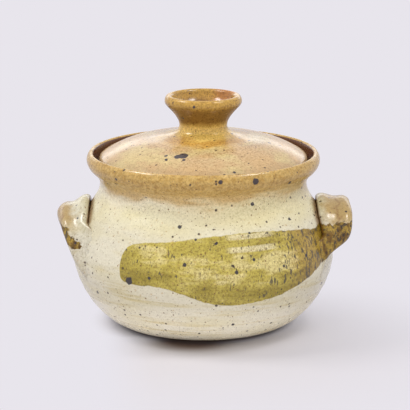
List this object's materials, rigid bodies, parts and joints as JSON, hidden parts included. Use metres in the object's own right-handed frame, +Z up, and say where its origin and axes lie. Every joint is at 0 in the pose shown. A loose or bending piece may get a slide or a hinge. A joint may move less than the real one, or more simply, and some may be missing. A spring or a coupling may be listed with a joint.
{
  "type": "casserole dish",
  "caption": "Round-bellied stoneware casserole with a gallery rim, strap lug handles and a domed lift-off lid with a hollow knob.",
  "frame": {"origin": "centre of the foot ring's underside, on the pot's axis", "axes": "+Z up along the pot's axis, +X towards the right handle as the picture shows it, camera of the picture looks along +Y"},
  "size_m": [0.2275, 0.2022, 0.1788],
  "materials": {
    "cream_glaze": "semi-gloss speckled cream stoneware glaze",
    "strap_glaze": "semi-gloss cream glaze breaking to brown on the ridges",
    "ochre_glaze": "satin speckled ochre stoneware glaze",
    "amber_glaze": "glossy amber stoneware glaze"
  },
  "bodies": {
    "pot": {"pot_body": "cream_glaze", "handle_left": "strap_glaze", "handle_right": "strap_glaze"},
    "lid": {"lid_dome": "ochre_glaze", "lid_knob": "amber_glaze"}
  },
  "joints": [
    {"name": "lid_lift", "type": "slide", "parent": "pot", "child": "lid", "axis": [0, 0, 1], "range_m": [0, 0.12]}
  ]
}
